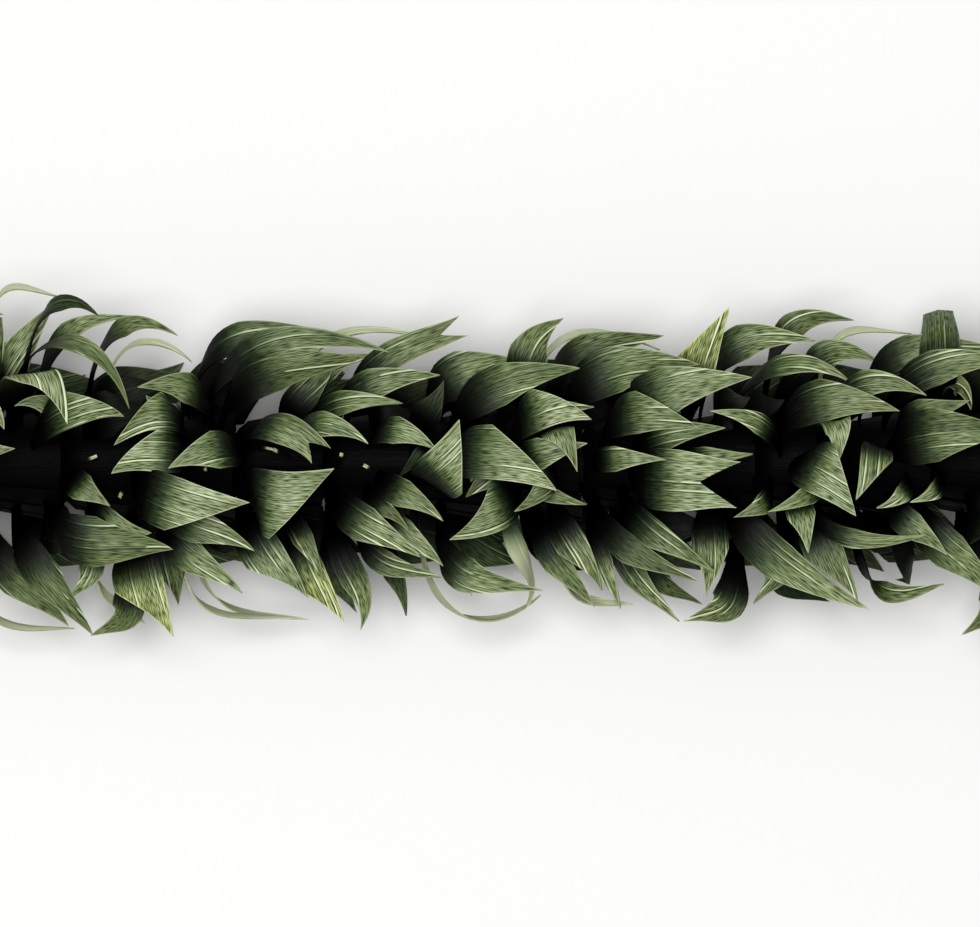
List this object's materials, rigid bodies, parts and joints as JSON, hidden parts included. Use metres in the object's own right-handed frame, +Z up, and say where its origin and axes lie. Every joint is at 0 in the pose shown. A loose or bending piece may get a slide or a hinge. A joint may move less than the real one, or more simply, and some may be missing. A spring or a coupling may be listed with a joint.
{
  "type": "leaf head lei",
  "caption": "Straight open head lei: bunches of broad pointed dark-green leaf pieces bound one after another along a cord.",
  "frame": {"origin": "on the surface it lies on, under the middle of the lei", "axes": "+X along the cord, the way the leaves sweep; +Y across the lei, to the picture's top; +Z up, towards the camera"},
  "size_m": [0.4716, 0.0975, 0.0602],
  "materials": {
    "leaf": "satin preserved ti leaf, dark green with pale parallel veins",
    "cord": "matt braided hemp cord",
    "lashing": "satin raffia strip"
  },
  "bodies": {
    "root": {"core_cord": "cord", "lashing_01": "lashing", "lashing_02": "lashing", "lashing_03": "lashing", "lashing_04": "lashing", "lashing_05": "lashing", "lashing_06": "lashing", "lashing_07": "lashing", "lashing_08": "lashing", "lashing_09": "lashing", "lashing_10": "lashing", "lashing_11": "lashing", "lashing_12": "lashing", "lashing_13": "lashing", "lashing_14": "lashing", "lashing_15": "lashing", "lashing_16": "lashing", "lashing_17": "lashing", "lashing_18": "lashing", "lashing_19": "lashing", "leaf_bunch_01": "leaf", "leaf_bunch_02": "leaf", "leaf_bunch_03": "leaf", "leaf_bunch_04": "leaf", "leaf_bunch_05": "leaf", "leaf_bunch_06": "leaf", "leaf_bunch_07": "leaf", "leaf_bunch_08": "leaf", "leaf_bunch_09": "leaf", "leaf_bunch_10": "leaf", "leaf_bunch_11": "leaf", "leaf_bunch_12": "leaf", "leaf_bunch_13": "leaf", "leaf_bunch_14": "leaf", "leaf_bunch_15": "leaf", "leaf_bunch_16": "leaf", "leaf_bunch_17": "leaf", "leaf_bunch_18": "leaf"}
  },
  "joints": []
}
